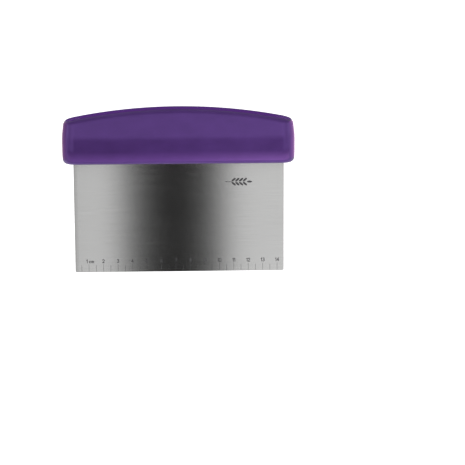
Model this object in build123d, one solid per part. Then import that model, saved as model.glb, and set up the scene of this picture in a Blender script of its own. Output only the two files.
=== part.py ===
from build123d import *
import math
import os

# A bench scraper: a stainless steel blade with a centimetre scale, riveted by its tang
# between the two halves of a rigid core, under a soft moulded grip.
# Sizes are in millimetres. X runs along the working edge, Z rises from the working edge
# to the handle, and the face with the scale looks along -Y. The origin is the middle of
# the working edge.

# Blade
blade_width = 144.0
blade_thickness = 0.9
blade_corner_radius = 1.2
blade_edge_break = 0.12
tang_width = 132.0
tang_top = 100.0
tang_corner_radius = 5.0

# Handle, outside
handle_underside = 76.7
handle_crown = 114.0
handle_crown_radius = 370.0
handle_length = 158.3
handle_depth = 25.4
belt_bottom = 85.0
belt_top = 92.5
lower_side_radius = 54.0
upper_side_radius = 50.0
upper_side_arc_height = 6.0
end_corner_radius = 9.2
underside_edge_radius = 3.3
top_edge_radius = 3.0

# Handle, inside
grip_wall = 2.5
tang_clearance = 0.2
core_wall = 2.5
pocket_pitch = 13.0
pocket_columns = 10
pocket_width = 10.5
pocket_corner_radius = 1.0
lower_pocket_bottom = 81.5
lower_pocket_top = 91.5
upper_pocket_bottom = 94.0

# Rivets through the core and the tang
rivet_positions = [-58.5, -19.5, 19.5, 58.5]
rivet_height = 89.5
rivet_diameter = 4.0
rivet_hole_diameter = 4.2
rivet_head_diameter = 7.0
rivet_head_thickness = 1.2
rivet_head_seat = 8.5
rivet_tail_bore = 2.4
rivet_tail_depth = 4.0
rivet_recess_diameter = 7.4

# Pegs that line the two core halves up, beyond the ends of the tang
peg_position = 71.0
peg_height = 89.5
peg_diameter = 3.6
peg_length = 3.0
peg_clearance = 0.1

# Marks sunk into the front of the blade and filled with dark ink
mark_depth = 0.05
scale_zero = -blade_width / 2 - 0.6
scale_step = 5.0
scale_steps = 28
tick_width = 0.2
tick_start = 0.25
half_tick_top = 4.8
full_tick_top = 5.6
numeral_height = 2.3
numeral_stroke = 0.44
numeral_gap = 0.62
unit_label_shift = 0.85
numeral_lift = 1.05
ear_centre_x = 40.9
ear_centre_z = 62.6
ear_stem_length = 4.2
ear_stem_width = 0.4
ear_kernel_pairs = 4
ear_kernel_spacing = 2.6
ear_kernel_length = 3.6
ear_kernel_width = 1.4
ear_kernel_angle = 40.0
ear_kernel_gap = 0.35


def side_profile(half_width, inset):
    """Points along one side of the handle, as distances from its centre and heights.

    The side is upright along a belt, where the handle is widest. It curves in below the
    belt, and above it bends to a straight slope.
    """
    side = half_width - inset
    bottom = handle_underside + inset
    lower_radius = lower_side_radius - inset
    upper_radius = upper_side_radius - inset
    lower_angle = math.asin((belt_bottom - bottom) / lower_radius)
    lean = math.asin(upper_side_arc_height / upper_radius)

    def below(angle):
        return (
            side - lower_radius * (1 - math.cos(angle)),
            belt_bottom - lower_radius * math.sin(angle),
        )

    def above(angle):
        return (
            side - upper_radius * (1 - math.cos(angle)),
            belt_top + upper_radius * math.sin(angle),
        )

    return {
        "bottom": below(lower_angle),
        "lower_middle": below(lower_angle / 2),
        "belt_bottom": (side, belt_bottom),
        "belt_top": (side, belt_top),
        "upper_middle": above(lean / 2),
        "upper": above(lean),
        "lean": lean,
    }


def top_height(x, inset):
    """Height of the crowned top at a distance x from the middle of the handle."""
    radius = handle_crown_radius - inset
    crown = handle_crown - inset
    return crown - radius + math.sqrt(radius * radius - x * x)


def side_point_at(profile, height):
    """Point on the straight upper part of a side, at the given height."""
    x, z = profile["upper"]
    return (x - math.tan(profile["lean"]) * (height - z), height)


def outline(half_width, inset, crowned):
    """Closed outline of the handle, seen from the front or from one end."""
    right = side_profile(half_width, inset)
    top = handle_crown - inset
    if crowned:
        top = top_height(side_point_at(right, top)[0], inset)
    corner = side_point_at(right, top)

    def mirrored(point):
        return (-point[0], point[1])

    left = {name: mirrored(place) for name, place in right.items() if name != "lean"}
    edges = [Line(left["bottom"], right["bottom"])]
    for side, top_corner in ((right, corner), (left, mirrored(corner))):
        edges.append(ThreePointArc(side["bottom"], side["lower_middle"], side["belt_bottom"]))
        edges.append(Line(side["belt_bottom"], side["belt_top"]))
        edges.append(ThreePointArc(side["belt_top"], side["upper_middle"], side["upper"]))
        edges.append(Line(side["upper"], top_corner))
    if crowned:
        edges.append(ThreePointArc(corner, (0, handle_crown - inset), mirrored(corner)))
    else:
        edges.append(Line(corner, mirrored(corner)))
    return make_face(edges)


def handle_body(inset):
    """The handle's outer shape, moved inwards by an inset."""
    front = Plane.XZ * outline(handle_length / 2, inset, True)
    end = Plane.YZ * outline(handle_depth / 2, inset, False)
    body = extrude(front, handle_depth, both=True) & extrude(end, handle_length, both=True)
    uprights = [
        edge
        for edge in body.edges()
        if abs(edge.center().X) > handle_length / 4 and abs(edge.center().Y) > handle_depth / 4
        and abs((edge @ 1 - edge @ 0).Z) > 1
    ]
    body = fillet(uprights, end_corner_radius - inset)
    top_face = body.faces().sort_by(Axis.Z)[-1]
    body = fillet(top_face.edges(), top_edge_radius - inset / 2)
    underside = body.faces().sort_by(Axis.Z)[0]
    return fillet(underside.edges(), underside_edge_radius - inset / 2)


def tang_outline(margin):
    """The tang seen from the front, grown by a margin on its sides and top."""
    shoulder = handle_underside + grip_wall
    width = tang_width + 2 * margin
    height = tang_top + margin - shoulder
    return Pos(0, shoulder + height / 2) * RectangleRounded(
        width, height, tang_corner_radius + margin
    ) + Pos(0, shoulder + height / 4) * Rectangle(width, height / 2)


def blade_outline():
    """The blade and its tang seen from the front."""
    shoulder = handle_underside + grip_wall
    sheet = Pos(0, shoulder / 2) * Rectangle(blade_width, shoulder)
    lower_corners = sheet.vertices().sort_by(Axis.Y)[:2]
    return fillet(lower_corners, blade_corner_radius) + tang_outline(0)


def rivet_axes(y):
    """Places of the four rivets, along the handle, at a depth y."""
    return [Pos(x, y, rivet_height) * Rot(90, 0, 0) for x in rivet_positions]


def glyph(character):
    """Centre lines of a numeral or letter, one unit high, with its width."""
    if character == "0":
        lines = [
            Line((0, 0.26), (0, 0.74)),
            ThreePointArc((0, 0.74), (0.26, 1), (0.52, 0.74)),
            Line((0.52, 0.74), (0.52, 0.26)),
            ThreePointArc((0.52, 0.26), (0.26, 0), (0, 0.26)),
        ]
        return lines, 0.52
    if character == "1":
        return [Line((0, 0.8), (0.2, 1)), Line((0.2, 1), (0.2, 0))], 0.2
    if character == "2":
        bend = CenterArc((0.26, 0.74), 0.26, 180, -215)
        return [bend, Line(bend @ 1, (0, 0)), Line((0, 0), (0.52, 0))], 0.52
    if character == "3":
        upper = CenterArc((0.26, 0.765), 0.235, 150, -240)
        lower = CenterArc((0.26, 0.265), 0.265, 90, -240)
        return [upper, lower], 0.525
    if character == "4":
        slope = [Line((0.4, 1), (0, 0.3)), Line((0, 0.3), (0.56, 0.3))]
        return [Line((0.4, 0), (0.4, 1))] + slope, 0.56
    if character == "5":
        bowl = CenterArc((0.24, 0.3), 0.3, 130, -270)
        return [Line((0.48, 1), (0.09, 1)), Line((0.09, 1), bowl @ 0), bowl], 0.54
    if character == "6":
        stem = ThreePointArc((0, 0.28), (0.12, 0.76), (0.42, 1))
        return [CenterArc((0.27, 0.28), 0.27, 0, 360), stem], 0.54
    if character == "7":
        return [Line((0, 1), (0.52, 1)), Line((0.52, 1), (0.16, 0))], 0.52
    if character == "8":
        upper = CenterArc((0.265, 0.765), 0.235, 0, 360)
        lower = CenterArc((0.265, 0.265), 0.265, 0, 360)
        return [upper, lower], 0.53
    if character == "9":
        stem = ThreePointArc((0.54, 0.72), (0.42, 0.24), (0.12, 0))
        return [CenterArc((0.27, 0.72), 0.27, 0, 360), stem], 0.54
    if character == "c":
        return [CenterArc((0.27, 0.29), 0.27, 45, 270)], 0.46
    if character == " ":
        return [], 0.02
    lines = [Line((0, 0), (0, 0.56))]
    for arch in range(2):
        start = arch * 0.32
        lines.append(ThreePointArc((start, 0.4), (start + 0.16, 0.56), (start + 0.32, 0.4)))
        lines.append(Line((start + 0.32, 0.4), (start + 0.32, 0)))
    return lines, 0.64


def pen_stroke(line, width):
    """A flat stroke of a round-ended pen along a straight line, an arc or a circle."""
    if line.geom_type == GeomType.LINE:
        direction = line % 0.5
        turn = math.degrees(math.atan2(direction.Y, direction.X))
        return Pos(line @ 0.5) * Rot(0, 0, turn) * SlotCenterToCenter(line.length, width)
    if line.is_closed:
        ring = Circle(line.radius + width / 2) - Circle(line.radius - width / 2)
        return Pos(line.arc_center) * ring
    return SlotArc(line, width)


def label(text):
    """A line of characters, centred on x = 0 and standing on y = 0."""
    glyphs = [glyph(character) for character in text]
    gap = numeral_gap / numeral_height
    total = sum(width for lines, width in glyphs) + gap * (len(text) - 1)
    start = -total / 2
    shapes = []
    for lines, width in glyphs:
        if lines:
            shape = Sketch()
            for line in lines:
                shape += pen_stroke(line, numeral_stroke / numeral_height)
            shapes.append(Pos(start * numeral_height, 0) * scale(shape, by=numeral_height))
        start += width + gap
    return shapes


def scale_drawing():
    """Ticks and numerals of the centimetre scale, as flat shapes seen from the front."""
    shapes = []
    for step in range(1, scale_steps + 1):
        x = scale_zero + step * scale_step
        whole = step % 2 == 0
        top = full_tick_top if whole else half_tick_top
        shapes.append(Pos(x, (tick_start + top) / 2) * Rectangle(tick_width, top - tick_start))
        if whole:
            base = full_tick_top + numeral_lift
            text = str(step // 2)
            if step == 2:
                text += " cm"
                x += unit_label_shift
            shapes.extend(Pos(x, base) * shape for shape in label(text))
    return shapes


def ear_drawing():
    """An ear of wheat lying on its side, as flat shapes seen from the front."""
    kernel = Ellipse(ear_kernel_length / 2, ear_kernel_width / 2)
    reach = Pos(ear_kernel_gap + ear_kernel_length / 2, 0)
    head_length = ear_kernel_pairs * ear_kernel_spacing + ear_kernel_gap + ear_kernel_length
    start = ear_centre_x - (ear_stem_length + head_length) / 2
    stem = Rectangle(ear_stem_length, ear_stem_width)
    shapes = [Pos(start + ear_stem_length / 2, ear_centre_z) * stem]
    for pair in range(ear_kernel_pairs):
        root = Pos(start + ear_stem_length + pair * ear_kernel_spacing, ear_centre_z)
        for angle in (ear_kernel_angle, -ear_kernel_angle):
            shapes.append(root * Rot(0, 0, angle) * reach * kernel)
    tip = Pos(start + ear_stem_length + ear_kernel_pairs * ear_kernel_spacing, ear_centre_z)
    shapes.append(tip * reach * kernel)
    return shapes


def sunk_marks(drawing):
    """Flat shapes made into thin solids, flush with the front of the blade."""
    front = Plane(origin=(0, -blade_thickness / 2, 0), x_dir=(1, 0, 0), z_dir=(0, -1, 0))
    solids = []
    for shape in drawing:
        solids.extend(extrude(front * shape, -mark_depth).solids())
    return solids


def make_blade(marks):
    """The sheet with its tang, rivet holes and the recesses of the marks."""
    sheet = extrude(Plane.XZ * blade_outline(), blade_thickness / 2, both=True)
    sides = sheet.faces().filter_by(Axis.Y).edges()
    sheet = chamfer(sides, blade_edge_break)
    for axis in rivet_axes(0):
        sheet -= axis * Cylinder(rivet_hole_diameter / 2, 2 * blade_thickness)
    return sheet - marks


def pocket_heights(x):
    """Bottoms and tops of the pockets in the column at x."""
    lower = (lower_pocket_bottom, lower_pocket_top)
    outer_edge = abs(x) + pocket_width / 2
    upper = (upper_pocket_bottom, top_height(outer_edge, grip_wall) - core_wall)
    return [upper] if x in rivet_positions else [lower, upper]


def core_pockets():
    """Blocks that hollow the front half of the core out, between its ribs."""
    depth = handle_depth / 2 - grip_wall - core_wall - blade_thickness / 2
    blocks = []
    for column in range(pocket_columns):
        x = (column - (pocket_columns - 1) / 2) * pocket_pitch
        for bottom, top in pocket_heights(x):
            block = Box(pocket_width, depth, top - bottom)
            block = fillet(block.edges().filter_by(Axis.Y), pocket_corner_radius)
            blocks.append(Pos(x, -(blade_thickness + depth) / 2, (bottom + top) / 2) * block)
    return blocks


def core_half(body):
    """The front half of the core: ribs, tang seat, rivet holes and head recesses."""
    span = handle_length + handle_depth
    front_space = Pos(0, -span / 2, handle_crown / 2) * Box(span, span, 2 * handle_crown)
    half = body & front_space
    seat = extrude(Plane.XZ * tang_outline(tang_clearance), blade_thickness / 2, both=True)
    half -= seat
    half -= core_pockets()
    for axis in rivet_axes(-handle_depth / 4):
        half -= axis * Cylinder(rivet_hole_diameter / 2, handle_depth)
    for axis in rivet_axes(-rivet_head_seat - handle_depth / 4):
        half -= axis * Cylinder(rivet_recess_diameter / 2, handle_depth / 2)
    return half


def peg_cylinder(side, diameter, length):
    """A peg or its hole in the front half, at one end of the core."""
    place = Pos(side * peg_position, -length / 2, peg_height) * Rot(90, 0, 0)
    return place * Cylinder(diameter / 2, length)


def make_core_front(body):
    """The front half of the core, with a hole for each peg."""
    half = core_half(body)
    for side in (-1, 1):
        half -= peg_cylinder(side, peg_diameter + 2 * peg_clearance, peg_length + peg_clearance)
    return half


def make_core_rear(body):
    """The rear half of the core, with a peg at each end."""
    half = mirror(core_half(body), Plane.XZ)
    for side in (-1, 1):
        half += peg_cylinder(side, peg_diameter, peg_length)
    return half


def make_rivets():
    """Four half-hollow rivets, each with a head in front and a formed tail behind."""
    head = Cylinder(rivet_head_diameter / 2, rivet_head_thickness)
    head = fillet(head.edges().sort_by(Axis.Z)[-1], rivet_head_thickness / 2)
    head_offset = rivet_head_seat + rivet_head_thickness / 2
    rivet = Cylinder(rivet_diameter / 2, 2 * rivet_head_seat)
    rivet += Pos(0, 0, head_offset) * head
    rivet += Pos(0, 0, -head_offset) * Rot(180, 0, 0) * head
    bore = Cylinder(rivet_tail_bore / 2, rivet_tail_depth)
    rivet -= Pos(0, 0, -rivet_head_seat - rivet_head_thickness + rivet_tail_depth / 2) * bore
    return [axis * rivet for axis in rivet_axes(0)]


def make_grip(body):
    """The soft skin over the core, with a slot in its underside for the blade."""
    slot = Box(blade_width, blade_thickness, 2 * grip_wall)
    return handle_body(0) - body - Pos(0, 0, handle_underside) * slot


def main():
    os.makedirs("parts", exist_ok=True)
    scale_marks = sunk_marks(scale_drawing())
    ear_mark = sunk_marks(ear_drawing())
    core_body = handle_body(grip_wall)
    parts = {
        "blade": [make_blade(scale_marks + ear_mark)],
        "scale_marks": scale_marks,
        "wheat_ear_mark": ear_mark,
        "core_front": [make_core_front(core_body)],
        "core_rear": [make_core_rear(core_body)],
        "tang_rivets": make_rivets(),
        "grip_skin": [make_grip(core_body)],
    }
    for name, pieces in parts.items():
        solids = [solid for piece in pieces for solid in piece.solids()]
        export_step(Compound(solids), f"parts/{name}.step")


main()
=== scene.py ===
"""Looks of the bench scraper: a brushed stainless blade and a soft purple grip.

Everything is in metres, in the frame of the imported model: X along the working edge,
Z up from that edge to the handle, and the face with the scale looking along -Y.
"""

import math

import bpy
import numpy as np
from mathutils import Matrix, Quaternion, Vector


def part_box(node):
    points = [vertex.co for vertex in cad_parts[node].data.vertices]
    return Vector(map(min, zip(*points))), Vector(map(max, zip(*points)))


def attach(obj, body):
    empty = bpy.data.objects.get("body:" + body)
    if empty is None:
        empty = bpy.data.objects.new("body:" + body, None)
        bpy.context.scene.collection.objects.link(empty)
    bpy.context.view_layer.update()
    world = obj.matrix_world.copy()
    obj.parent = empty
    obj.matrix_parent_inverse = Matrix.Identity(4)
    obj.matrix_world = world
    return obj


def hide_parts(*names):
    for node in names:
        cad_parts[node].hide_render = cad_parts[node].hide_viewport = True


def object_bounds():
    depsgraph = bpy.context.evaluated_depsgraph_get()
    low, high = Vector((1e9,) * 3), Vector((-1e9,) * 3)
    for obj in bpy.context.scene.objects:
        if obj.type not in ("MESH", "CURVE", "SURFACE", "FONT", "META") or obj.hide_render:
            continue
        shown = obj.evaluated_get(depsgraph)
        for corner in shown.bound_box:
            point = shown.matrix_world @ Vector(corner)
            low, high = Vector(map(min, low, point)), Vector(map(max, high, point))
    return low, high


MM = 0.001

# Outer shape of the grip, around the sizes that come from the frame
CROWN_RADIUS = 370 * MM
BELT_BOTTOM = 8.3 * MM
BELT_TOP = 15.8 * MM
LOWER_SIDE_RADIUS = 54 * MM
UPPER_SIDE_RADIUS = 50 * MM
UPPER_SIDE_ARC = 6 * MM
END_CORNER_RADIUS = 9.2 * MM
UNDERSIDE_EDGE_RADIUS = 3.3 * MM
TOP_EDGE_RADIUS = 3.0 * MM
CROWN_MARGIN = 1 * MM
SLOT_EASE = 0.04 * MM
SLOT_LIP = 0.3 * MM

# Divisions of the grip's mesh, and how often a height is refined where a round edge starts
FRONT_STEPS = 104
CORNER_STEPS = 12
END_STEPS = 6
SIDE_ROWS = 24
FILLET_ROWS = 9
UNDERSIDE_ROWS = 4
LIP_ROWS = 3
REFINEMENTS = 20

# The blade is a little darker towards its left side
RIM_WIDTH = 3 * MM
RIM_TONE = 0.77

# Camera, with its angles in radians and its lens and sensor in millimetres
CAMERA_ELEVATION = math.radians(11.49)
CAMERA_TURN = math.radians(-1.88)
CAMERA_ROLL = math.radians(-0.22)
CAMERA_DISTANCE = 1.239
CAMERA_REACH = 50.0
CAMERA_LENS = 139.0
SENSOR_WIDTH = 36.0
AIM = Vector((36.6 * MM, 0.0, 26.96 * MM))

# Floor and lights, in metres and watts. The fill points at a share of the part's height.
FLOOR_SIZE = 14.0
FLOOR_GLOW = 0.8
OVERHEAD_PLACE = (0.0, -0.45, 1.2)
OVERHEAD_SIZE = (0.7, 0.3)
OVERHEAD_POWER = 4.5
FILL_PLACE = (0.06, -0.14, 0.01)
FILL_SIZE = (0.1, 0.1)
FILL_POWER = 0.18
FILL_AIM = 0.7

# Cards that only reflections show, with the heights of bars and strip above the handle's
# underside. Dark bars before and behind the handle, fading at their tops into the surroundings:
BAR_REACH = 80 * MM
BAR_SHIFT = -0.5 * MM
BAR_EXTRA = 24 * MM
BAR_BOTTOM = -8 * MM
BAR_FADE = 11 * MM
BAR_TOP = 20.5 * MM
BAR_GLOW = (1.3, 1.3, 1.3)
# A dim card far behind the handle, from a little below its crown upwards:
CARD_REACH = 120 * MM
CARD_WIDTH = 240 * MM
CARD_HEIGHT = 110 * MM
CARD_DROP = 5 * MM
CARD_GLOW = (0.14, 0.04, 0.29)
# A bright strip close in front of the handle's lower edge, brighter to the right:
STRIP_REACH = 16 * MM
STRIP_EXTRA = 20 * MM
STRIP_BOTTOM = -0.5 * MM
STRIP_FADE = 0.3 * MM
STRIP_TOP = 9.0 * MM
STRIP_LEFT_GLOW = (1.7, 1.3, 1.55)
STRIP_RIGHT_GLOW = (3.3, 2.6, 2.6)
# A pink card beside each end of the handle:
END_REACH = 10 * MM
END_FRONT = -12 * MM
END_BACK = 45 * MM
END_LEFT_GLOW = (0.95, 0.55, 0.72)
END_RIGHT_GLOW = (1.7, 1.0, 1.5)

# Brightness of the surroundings. Across a dark slot between two softboxes, from
# SLOT_REACH degrees on one side of it (0) to SLOT_REACH degrees on the other (1):
SLOT_PERIOD = 45.0
SLOT_REACH = 4.0
SLOT_LEVELS = [
    (0.0, 0.88), (0.08, 0.78), (0.16, 0.96), (0.22, 0.98), (0.265, 0.78), (0.305, 0.36),
    (0.36, 0.11), (0.42, 0.03), (0.50, 0.0), (0.57, 0.03), (0.64, 0.1), (0.69, 0.34),
    (0.735, 0.85), (0.775, 1.0), (0.85, 0.98), (1.0, 0.98),
]
# By elevation in degrees, from straight down to straight up:
SKY_LEVELS = [
    (-90, 1.2), (-60, 1.3), (-40, 1.1), (-28, 1.1), (-23, 1.1), (-19, 1.1), (-16, 1.0),
    (-13, 0.64), (-6, 0.84), (-1, 1.4), (5, 1.6), (10, 1.2), (16, 0.75), (26, 0.45), (90, 0.6),
]
# By bearing in degrees, from the front round either side to the back:
SIDE_LEVELS = [
    (0, 1.0), (20, 1.0), (38, 0.8), (65, 0.85), (85, 1.3), (115, 1.4), (140, 1.1), (180, 1.0),
]


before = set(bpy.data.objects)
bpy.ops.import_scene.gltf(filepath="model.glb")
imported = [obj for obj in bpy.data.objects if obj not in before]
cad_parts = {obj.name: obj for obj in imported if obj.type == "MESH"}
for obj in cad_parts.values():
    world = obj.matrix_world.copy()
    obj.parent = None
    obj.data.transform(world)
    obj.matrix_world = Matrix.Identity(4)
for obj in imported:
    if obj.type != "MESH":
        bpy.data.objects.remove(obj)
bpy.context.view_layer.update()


# ---------------------------------------------------------------- shape of the grip

class GripShape:
    """One closed surface of the handle: the outside, or the inside at an inset."""

    def __init__(self, inset):
        low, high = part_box("grip_skin")
        self.bottom = low.z + inset
        self.crown = high.z - inset
        self.crown_radius = CROWN_RADIUS - inset
        self.half_length = (high.x - low.x) / 2 - inset
        self.half_depth = (high.y - low.y) / 2 - inset
        self.belt_bottom = low.z + BELT_BOTTOM
        self.belt_top = low.z + BELT_TOP
        self.lower_radius = LOWER_SIDE_RADIUS - inset
        self.upper_radius = UPPER_SIDE_RADIUS - inset
        self.corner = END_CORNER_RADIUS - inset
        self.bottom_fillet = UNDERSIDE_EDGE_RADIUS - inset / 2
        self.top_fillet = TOP_EDGE_RADIUS - inset / 2
        self.lean = math.asin(UPPER_SIDE_ARC / self.upper_radius)

    def corner_centre(self, angle):
        """Centre of the rounded corner that lies in a direction from the middle."""
        x = math.copysign(self.half_length - self.corner, math.cos(angle))
        y = math.copysign(self.half_depth - self.corner, math.sin(angle))
        return np.array((x, y))

    def outline(self):
        """Points round the widest level, from one corner's middle, with inward normals."""
        half = CORNER_STEPS // 2
        eighth = math.pi / 4
        places = []
        for side, steps in enumerate((FRONT_STEPS, END_STEPS, FRONT_STEPS, END_STEPS)):
            facing = (side - 1) * math.pi / 2
            first = self.corner_centre(facing - eighth)
            last = self.corner_centre(facing + eighth)
            places += [(first, facing - eighth * (1 - step / half)) for step in range(half)]
            places += [(first + (last - first) * step / steps, facing) for step in range(steps)]
            places += [(last, facing + eighth * step / half) for step in range(half)]
        points = []
        for (x, y), angle in places:
            nx, ny = -math.cos(angle), -math.sin(angle)
            points.append((x - self.corner * nx, y - self.corner * ny, nx, ny))
        return points

    def side(self, z):
        """How far in the side lies at a height, and how far it leans from upright."""
        drop = self.belt_bottom - z
        rise = z - self.belt_top
        if drop > 0:
            angle = math.asin(drop / self.lower_radius)
            return self.lower_radius * (1 - math.cos(angle)), -angle
        if rise <= 0:
            return 0.0, 0.0
        if rise < UPPER_SIDE_ARC:
            angle = math.asin(rise / self.upper_radius)
            return self.upper_radius * (1 - math.cos(angle)), angle
        start = self.upper_radius * (1 - math.cos(self.lean))
        return start + (rise - UPPER_SIDE_ARC) * math.tan(self.lean), self.lean

    def top(self, x):
        """Height of the crowned top."""
        return self.crown - self.crown_radius + math.sqrt(self.crown_radius ** 2 - x * x)

    def profile(self, x, y, nx, ny):
        """Rows from the crown down to the flat underside, at one point of the outline.

        The crown counts as flat across its round edge, with the slope that it has
        CROWN_MARGIN further in.
        """
        r = self.top_fillet
        reach = r + CROWN_MARGIN
        xm = x + nx * reach
        slope = -xm / math.sqrt(self.crown_radius ** 2 - xm * xm) * nx
        tilt = math.atan(slope)
        level = self.top(xm) - slope * reach
        z = self.crown - r
        for _ in range(REFINEMENTS):
            inward, lean = self.side(z)
            centre = inward + r * math.cos(lean)
            z = level + slope * centre - r / math.cos(tilt) + r * math.sin(lean)
        inward, lean = self.side(z)
        centre, height = inward + r * math.cos(lean), z - r * math.sin(lean)
        rows = []
        for step in range(FILLET_ROWS):
            angle = math.pi / 2 - tilt + (lean - math.pi / 2 + tilt) * step / FILLET_ROWS
            rows.append((centre - r * math.cos(angle), height + r * math.sin(angle)))
        top_of_side = z

        r = self.bottom_fillet
        z = self.bottom + r
        for _ in range(REFINEMENTS):
            inward, lean = self.side(z)
            z = self.bottom + r + r * math.sin(lean)
        inward, lean = self.side(z)
        for step in range(SIDE_ROWS):
            level = top_of_side + (z - top_of_side) * step / SIDE_ROWS
            rows.append((self.side(level)[0], level))
        centre, height = inward + r * math.cos(lean), self.bottom + r
        for step in range(FILLET_ROWS + 1):
            angle = lean + (-math.pi / 2 - lean) * step / FILLET_ROWS
            rows.append((centre - r * math.cos(angle), height + r * math.sin(angle)))
        return [(x + nx * d, y + ny * d, level) for d, level in rows]

    def rings(self):
        """The surface as rings, from the edge of the crown to the edge of the underside."""
        columns = [self.profile(*point) for point in self.outline()]
        return np.array(columns).transpose(1, 0, 2)


def coons_cap(ring, height):
    """Points of a grid that fills a ring, with each point's height from its x."""
    across = FRONT_STEPS + CORNER_STEPS
    along = END_STEPS + CORNER_STEPS
    front = ring[: across + 1]
    right = ring[across : across + along + 1]
    back = ring[across + along : 2 * across + along + 1][::-1]
    left = np.concatenate([ring[2 * across + along :], ring[:1]])[::-1]
    grid = np.zeros((along + 1, across + 1, 3))
    for j in range(along + 1):
        v = j / along
        for i in range(across + 1):
            u = i / across
            sides = (1 - v) * front[i] + v * back[i] + (1 - u) * left[j] + u * right[j]
            corners = (1 - v) * ((1 - u) * front[0] + u * front[-1])
            corners = corners + v * ((1 - u) * back[0] + u * back[-1])
            grid[j, i] = sides - corners
            grid[j, i, 2] = height(grid[j, i, 0])
    return grid


class MeshBuilder:
    """Collects rings and caps into one mesh."""

    def __init__(self):
        self.vertices = []
        self.faces = []

    def add(self, points):
        start = len(self.vertices)
        self.vertices.extend(tuple(point) for point in points)
        return list(range(start, start + len(points)))

    def bridge(self, upper, lower):
        count = len(upper)
        for i in range(count):
            j = (i + 1) % count
            self.faces.append((upper[j], upper[i], lower[i], lower[j]))

    def cap(self, ring_ids, ring, height, flipped):
        """Fills a ring with a grid whose border is the ring itself."""
        grid = coons_cap(ring, height)
        rows, columns = grid.shape[:2]
        ids = np.zeros((rows, columns), int)
        across, along = columns - 1, rows - 1
        for i in range(columns):
            ids[0, i] = ring_ids[i]
            ids[along, i] = ring_ids[(2 * across + along - i) % len(ring_ids)]
        for j in range(1, along):
            ids[j, 1:across] = self.add(grid[j, 1:across])
            ids[j, across] = ring_ids[across + j]
            ids[j, 0] = ring_ids[(2 * across + 2 * along - j) % len(ring_ids)]
        for j in range(along):
            for i in range(across):
                face = (ids[j, i], ids[j, i + 1], ids[j + 1, i + 1], ids[j + 1, i])
                self.faces.append(face[::-1] if flipped else face)

    def object(self, name):
        mesh = bpy.data.meshes.new(name)
        faces = [tuple(int(corner) for corner in face) for face in self.faces]
        mesh.from_pydata(self.vertices, [], faces)
        mesh.validate()
        mesh.polygons.foreach_set("use_smooth", [True] * len(mesh.polygons))
        mesh.update()
        piece = bpy.data.objects.new(name, mesh)
        bpy.context.scene.collection.objects.link(piece)
        return piece


def slot_ring(edge_ring, level, ease):
    """The ring at the edge of the underside, squeezed onto the outline of the slot."""
    low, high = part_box("blade")
    half_length = (high.x - low.x) / 2 + ease
    half_depth = (high.y - low.y) / 2 + ease
    across = FRONT_STEPS + CORNER_STEPS
    along = END_STEPS + CORNER_STEPS
    ring = np.array(edge_ring)
    total = len(ring)
    corner = abs(ring[0, 0])
    for i in range(total):
        if i <= across or across + along <= i <= 2 * across + along:
            ring[i, 0] *= half_length / corner
            ring[i, 1] = math.copysign(half_depth, edge_ring[i][1])
        else:
            place = (i - across) if i < across + along else (2 * across + 2 * along - i)
            ring[i, 0] = math.copysign(half_length, edge_ring[i][0])
            ring[i, 1] = half_depth * (2 * place / along - 1)
    ring[:, 2] = level
    return ring


def make_grip():
    """The grip as a closed shell: outside, walls of the blade's slot, and inside."""
    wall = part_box("core_front")[0].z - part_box("grip_skin")[0].z
    outside = GripShape(0.0)
    inside = GripShape(wall)
    builder = MeshBuilder()

    outer_rings = outside.rings()
    ids = [builder.add(ring) for ring in outer_rings]
    builder.cap(ids[0], outer_rings[0], outside.top, False)
    for upper, lower in zip(ids, ids[1:]):
        builder.bridge(upper, lower)

    edge = outer_rings[-1]
    steps = []
    lip = slot_ring(edge, outside.bottom, SLOT_EASE + SLOT_LIP)
    for row in range(1, UNDERSIDE_ROWS):
        steps.append(edge + (lip - edge) * row / UNDERSIDE_ROWS)
    for row in range(LIP_ROWS + 1):
        angle = math.pi / 2 * row / LIP_ROWS
        ease = SLOT_EASE + SLOT_LIP * (1 - math.sin(angle))
        rise = SLOT_LIP * (1 - math.cos(angle))
        steps.append(slot_ring(edge, outside.bottom + rise, ease))
    inner_rings = inside.rings()[::-1]
    inner_edge = inner_rings[0]
    mouth = slot_ring(inner_edge, inside.bottom, SLOT_EASE)
    for row in range(UNDERSIDE_ROWS):
        steps.append(mouth + (inner_edge - mouth) * row / UNDERSIDE_ROWS)
    steps.extend(inner_rings)
    previous = ids[-1]
    for ring in steps:
        current = builder.add(ring)
        builder.bridge(previous, current)
        previous = current
    builder.cap(previous, inner_rings[-1], inside.top, True)
    return builder.object("soft_grip")


# ---------------------------------------------------------------- materials

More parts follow.
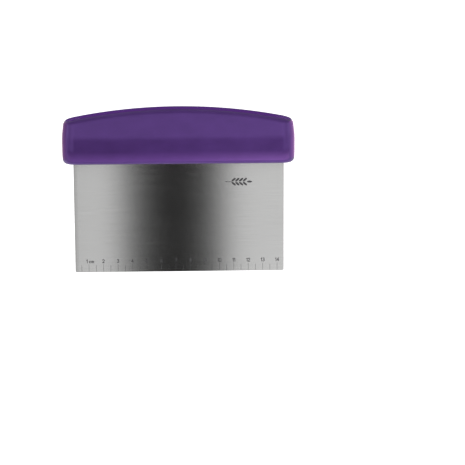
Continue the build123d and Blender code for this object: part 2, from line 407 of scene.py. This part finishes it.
class Nodes:
    """Short calls for building the node tree of a material or of the world."""

    def __init__(self, owner):
        owner.use_nodes = True
        self.owner = owner
        self.tree = owner.node_tree
        self.shader = self.tree.nodes.get("Principled BSDF")

    def node(self, kind, **settings):
        made = self.tree.nodes.new(kind)
        for key, value in settings.items():
            setattr(made, key, value)
        return made

    def link(self, source, target):
        self.tree.links.new(source, target)

    def feed(self, socket, value):
        """Gives a socket a number, a colour or the output of another node."""
        if isinstance(value, tuple):
            socket.default_value = (*value, 1.0)
        elif isinstance(value, (int, float)):
            socket.default_value = value
        else:
            self.link(value, socket)

    def set(self, **values):
        """Feeds the shader's own sockets, with an underscore for each space."""
        for name, value in values.items():
            self.feed(self.shader.inputs[name.replace("_", " ")], value)

    def maths(self, operation, *values):
        made = self.node("ShaderNodeMath", operation=operation)
        for socket, value in zip(made.inputs, values):
            self.feed(socket, value)
        return made.outputs[0]

    def mix(self, factor, first, second, blend="MIX"):
        made = self.node("ShaderNodeMix", data_type="RGBA", blend_type=blend)
        for socket, value in zip((made.inputs[0], *made.inputs[6:8]), (factor, first, second)):
            self.feed(socket, value)
        return made.outputs[2]

    def place(self, scale):
        """Object coordinates in metres, stretched by a scale in each direction."""
        coordinates = self.node("ShaderNodeTexCoord")
        mapping = self.node("ShaderNodeMapping")
        mapping.inputs["Scale"].default_value = scale
        self.link(coordinates.outputs["Object"], mapping.inputs["Vector"])
        return mapping.outputs["Vector"]

    def split(self, vector):
        """The X, Y and Z of a vector."""
        parts = self.node("ShaderNodeSeparateXYZ")
        self.link(vector, parts.inputs[0])
        return [parts.outputs[name] for name in "XYZ"]

    def noise(self, scale, detail, roughness):
        made = self.node("ShaderNodeTexNoise")
        made.inputs["Scale"].default_value = 1.0
        made.inputs["Detail"].default_value = detail
        made.inputs["Roughness"].default_value = roughness
        self.link(self.place(scale), made.inputs["Vector"])
        return made.outputs["Fac"]

    def range(self, value, low, high, from_low=0.3, from_high=0.7):
        """A value, by default the usual spread of a noise, brought between low and high."""
        made = self.node("ShaderNodeMapRange")
        made.inputs["From Min"].default_value = from_low
        made.inputs["From Max"].default_value = from_high
        made.inputs["To Min"].default_value = low
        made.inputs["To Max"].default_value = high
        self.link(value, made.inputs["Value"])
        return made.outputs["Result"]

    def bump(self, height, distance):
        made = self.node("ShaderNodeBump")
        made.inputs["Distance"].default_value = distance
        self.link(height, made.inputs["Height"])
        return made.outputs["Normal"]

    def ramp(self, factor, stops):
        """A smooth curve of brightness through (position, level) stops."""
        peak = max(level for _, level in stops)
        made = self.node("ShaderNodeValToRGB")
        made.color_ramp.interpolation = "B_SPLINE"
        elements = made.color_ramp.elements
        while len(elements) < len(stops):
            elements.new(0.5)
        for element, (position, level) in zip(elements, stops):
            element.position = position
            element.color = (level / peak, level / peak, level / peak, 1.0)
        self.link(factor, made.inputs["Fac"])
        return self.maths("MULTIPLY", made.outputs["Color"], peak)


def surface(name):
    """The nodes of a new material."""
    return Nodes(bpy.data.materials.new(name))


def per_metre(*millimetres):
    """Noise scales that give features of these sizes along X, Y and Z."""
    return tuple(1.0 / (size * MM) for size in millimetres)


def brushed_steel():
    """Stainless sheet brushed along its length."""
    made = surface("brushed_stainless")
    fine = made.noise(per_metre(28, 28, 0.16), 4.0, 0.6)
    coarse = made.noise(per_metre(60, 60, 0.9), 3.0, 0.6)
    cloud = made.noise(per_metre(45, 45, 30), 2.0, 0.5)
    dull, bright = (0.60, 0.60, 0.595), (0.68, 0.68, 0.675)
    tone = made.mix(made.range(fine, 0.0, 1.0), dull, bright)
    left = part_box("blade")[0].x
    x = made.split(made.place((1.0, 1.0, 1.0)))[0]
    rim = made.range(x, RIM_TONE, 1.0, left, left + RIM_WIDTH)
    scratches = made.range(coarse, 0.095, 0.11)
    smears = made.range(cloud, -0.005, 0.005)
    grain = made.node("ShaderNodeCombineXYZ")
    grain.inputs["Z"].default_value = 1.0
    made.set(
        Base_Color=made.mix(1.0, tone, rim, "MULTIPLY"),
        Roughness=made.maths("ADD", scratches, smears),
        Normal=made.bump(fine, 0.0015 * MM),
        Tangent=grain.outputs["Vector"],
        Metallic=1.0,
        Anisotropic=1.0,
    )
    return made.owner


def soft_purple():
    """Soft moulded rubber with a fine eggshell texture."""
    made = surface("soft_purple_rubber")
    grain = made.noise(per_metre(0.35, 0.35, 0.35), 2.0, 0.5)
    cloud = made.noise(per_metre(14, 14, 9), 3.0, 0.55)
    deep, pale = (0.041, 0.0168, 0.089), (0.047, 0.0192, 0.101)
    made.set(
        Base_Color=made.mix(made.range(cloud, 0.0, 1.0), deep, pale),
        Roughness=made.range(cloud, 0.20, 0.23),
        Normal=made.bump(grain, 0.006 * MM),
        Specular_IOR_Level=1.0,
        Specular_Tint=(0.54, 0.32, 1.0),
    )
    return made.owner


def dark_ink():
    """Dark fill of the scale's recesses, a little worn."""
    made = surface("dark_ink")
    wear = made.noise(per_metre(0.5, 0.5, 0.3), 3.0, 0.6)
    fresh, worn = (0.018, 0.018, 0.020), (0.040, 0.040, 0.043)
    made.set(
        Base_Color=made.mix(made.range(wear, 0.0, 1.0), fresh, worn),
        Roughness=made.range(wear, 0.45, 0.65),
        Normal=made.bump(wear, 0.004 * MM),
    )
    return made.owner


def core_plastic():
    """Plain moulded plastic of the hidden core."""
    made = surface("core_plastic")
    grain = made.noise(per_metre(0.8, 0.8, 0.8), 3.0, 0.5)
    deep, pale = (0.10, 0.06, 0.16), (0.12, 0.075, 0.19)
    made.set(
        Base_Color=made.mix(made.range(grain, 0.0, 1.0), deep, pale),
        Roughness=made.range(grain, 0.5, 0.6),
        Normal=made.bump(grain, 0.01 * MM),
    )
    return made.owner


def rivet_steel():
    """Turned steel of the hidden rivets."""
    made = surface("rivet_steel")
    grain = made.noise(per_metre(0.3, 3.0, 0.3), 3.0, 0.5)
    dull, bright = (0.50, 0.50, 0.50), (0.60, 0.60, 0.60)
    made.set(
        Base_Color=made.mix(made.range(grain, 0.0, 1.0), dull, bright),
        Roughness=made.range(grain, 0.3, 0.45),
        Metallic=1.0,
    )
    return made.owner


def assign(node, material):
    """Gives a CAD node's object one material."""
    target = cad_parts[node]
    if not target.material_slots:
        target.data.materials.append(material)
    for slot in target.material_slots:
        slot.material = material


# ---------------------------------------------------------------- floor, lights, cards

def make_plane(name, centre, width, height, facing, material):
    """A flat rectangle whose front looks along facing."""
    facing = Vector(facing)
    level = facing.z == 0
    side = Vector((0, 0, 1)).cross(facing) if level else Vector((1, 0, 0))
    up = facing.cross(side)
    corners = [
        Vector(centre) + side * (width / 2 * sx) + up * (height / 2 * sy)
        for sx, sy in ((-1, -1), (1, -1), (1, 1), (-1, 1))
    ]
    mesh = bpy.data.meshes.new(name)
    mesh.from_pydata([tuple(corner) for corner in corners], [], [(0, 1, 2, 3)])
    mesh.materials.append(material)
    plane = bpy.data.objects.new(name, mesh)
    bpy.context.scene.collection.objects.link(plane)
    return plane


def pale_floor():
    """A pale matt surface that glows a little, as a lit tabletop does."""
    made = surface("pale_floor")
    speck = made.noise((3.0, 3.0, 3.0), 2.0, 0.5)
    made.set(
        Base_Color=made.mix(speck, (0.90, 0.90, 0.90), (0.92, 0.92, 0.92)),
        Roughness=0.9,
        Specular_IOR_Level=0.1,
        Emission_Color=(1.0, 1.0, 1.0),
        Emission_Strength=FLOOR_GLOW,
    )
    return made.owner


def area_light(name, place, target, size, power):
    """A rectangular light, which reflections don't show."""
    data = bpy.data.lights.new(name, "AREA")
    data.shape = "RECTANGLE"
    data.size, data.size_y = size
    data.energy = power
    light = bpy.data.objects.new(name, data)
    light.location = place
    light.rotation_euler = (Vector(target) - Vector(place)).to_track_quat("-Z", "Y").to_euler()
    light.visible_glossy = False
    bpy.context.scene.collection.objects.link(light)


def gloss_card(name, middle, width, heights, facing, glows, strengths=(1.0, 1.0)):
    """A black card with its own glow, seen only in the reflections of other surfaces.

    Middle is its x and y. Heights are its bottom, where its strength begins to change,
    and its top. The first glow is that of its left half, the second that of its right end,
    and its strengths are those up to the height where they begin to change and at the top.
    """
    bottom, fade, top = heights
    made = surface(name)
    x, _, z = made.split(made.place((1.0, 1.0, 1.0)))
    made.set(
        Base_Color=(0.0, 0.0, 0.0),
        Roughness=1.0,
        Specular_IOR_Level=0.0,
        Emission_Color=made.mix(made.range(x, 0.0, 1.0, 0.0, width / 2), *glows),
        Emission_Strength=made.range(z, *strengths, fade, top),
    )
    centre = (*middle, (bottom + top) / 2)
    card = make_plane(name, centre, width, top - bottom, facing, made.owner)
    card.visible_camera = False
    card.visible_diffuse = False
    card.visible_shadow = False


def make_cards():
    """Dark bars, a dim card, a bright strip and two pink end cards round the handle."""
    low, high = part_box("grip_skin")
    length = high.x - low.x

    heights = [low.z + height for height in (BAR_BOTTOM, BAR_FADE, BAR_TOP)]
    for side in (-1, 1):
        middle = (BAR_SHIFT, side * BAR_REACH)
        facing = (0, -side, 0)
        glows = (BAR_GLOW, BAR_GLOW)
        gloss_card("dark_bar", middle, length + BAR_EXTRA, heights, facing, glows, (0.0, 1.0))

    bottom = high.z - CARD_DROP
    heights = (bottom, bottom, bottom + CARD_HEIGHT)
    glows = (CARD_GLOW, CARD_GLOW)
    gloss_card("dim_card", (0.0, CARD_REACH), CARD_WIDTH, heights, (0, -1, 0), glows)

    middle = (0.0, -STRIP_REACH)
    heights = [low.z + height for height in (STRIP_BOTTOM, STRIP_FADE, STRIP_TOP)]
    glows = (STRIP_LEFT_GLOW, STRIP_RIGHT_GLOW)
    gloss_card("bright_strip", middle, length + STRIP_EXTRA, heights, (0, 1, 0), glows, (1.0, 0.0))

    heights = (low.z, low.z, high.z)
    for side, glow in ((-1, END_LEFT_GLOW), (1, END_RIGHT_GLOW)):
        middle = (side * (high.x + END_REACH), (END_FRONT + END_BACK) / 2)
        gloss_card("end_card", middle, END_BACK - END_FRONT, heights, (-side, 0, 0), (glow, glow))


def make_stage():
    low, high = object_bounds()
    floor = make_plane("floor", (0, 0, low.z), FLOOR_SIZE, FLOOR_SIZE, (0, 0, 1), pale_floor())
    floor.visible_glossy = False
    make_cards()
    area_light("overhead", OVERHEAD_PLACE, (0, 0, high.z / 2), OVERHEAD_SIZE, OVERHEAD_POWER)
    target = (FILL_PLACE[0], 0, high.z * FILL_AIM)
    area_light("low_fill", FILL_PLACE, target, FILL_SIZE, FILL_POWER)


# ---------------------------------------------------------------- surroundings, camera

def make_world():
    """Soft studio surroundings: a bright band round the horizon, broken by dark slots.

    The slots are gaps between softboxes, one every SLOT_PERIOD degrees round the compass,
    and the blade's brushed faces stretch their reflections into upright bands.
    """
    world = bpy.data.worlds.new("studio")
    made = Nodes(world)
    x, y, z = made.split(made.node("ShaderNodeTexCoord").outputs["Generated"])

    azimuth = made.maths("ARCTAN2", x, made.maths("ABSOLUTE", y))
    azimuth = made.maths("MULTIPLY", azimuth, 180 / math.pi)
    from_slot = made.maths("WRAP", azimuth, SLOT_PERIOD / 2, -SLOT_PERIOD / 2)
    across = made.maths("MULTIPLY_ADD", from_slot, 0.5 / SLOT_REACH, 0.5)
    slots = made.ramp(across, SLOT_LEVELS)

    elevation = made.maths("MULTIPLY", made.maths("ARCSINE", z), 180 / math.pi)
    up = made.maths("MULTIPLY_ADD", elevation, 1 / 180, 0.5)
    band = made.ramp(up, [((angle + 90) / 180, level) for angle, level in SKY_LEVELS])

    backwards = made.maths("MULTIPLY", y, -1.0)
    bearing = made.maths("ARCTAN2", made.maths("ABSOLUTE", x), backwards)
    round_compass = made.maths("DIVIDE", bearing, math.pi)
    sides = made.ramp(round_compass, [(angle / 180, level) for angle, level in SIDE_LEVELS])

    background = made.tree.nodes["Background"]
    background.inputs["Color"].default_value = (1.0, 1.0, 1.0, 1.0)
    total = made.maths("MULTIPLY", made.maths("MULTIPLY", slots, band), sides)
    made.link(total, background.inputs["Strength"])
    bpy.context.scene.world = world


def make_camera():
    data = bpy.data.cameras.new("camera")
    data.lens = CAMERA_LENS
    data.sensor_width = SENSOR_WIDTH
    data.clip_end = CAMERA_REACH
    camera = bpy.data.objects.new("camera", data)
    forward = Vector((
        -math.sin(CAMERA_TURN) * math.cos(CAMERA_ELEVATION),
        math.cos(CAMERA_TURN) * math.cos(CAMERA_ELEVATION),
        -math.sin(CAMERA_ELEVATION),
    ))
    camera.location = AIM - forward * CAMERA_DISTANCE
    upright = forward.to_track_quat("-Z", "Y")
    camera.rotation_euler = (upright @ Quaternion((0, 0, 1), CAMERA_ROLL)).to_euler()
    bpy.context.scene.collection.objects.link(camera)
    bpy.context.scene.camera = camera


# ---------------------------------------------------------------- scene

bpy.context.scene.view_settings.view_transform = "Standard"

grip = make_grip()
grip.data.materials.append(soft_purple())
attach(grip, "root")
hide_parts("grip_skin")

assign("blade", brushed_steel())
ink = dark_ink()
assign("scale_marks", ink)
assign("wheat_ear_mark", ink)
plastic = core_plastic()
assign("core_front", plastic)
assign("core_rear", plastic)
assign("tang_rivets", rivet_steel())

make_world()
make_stage()
make_camera()
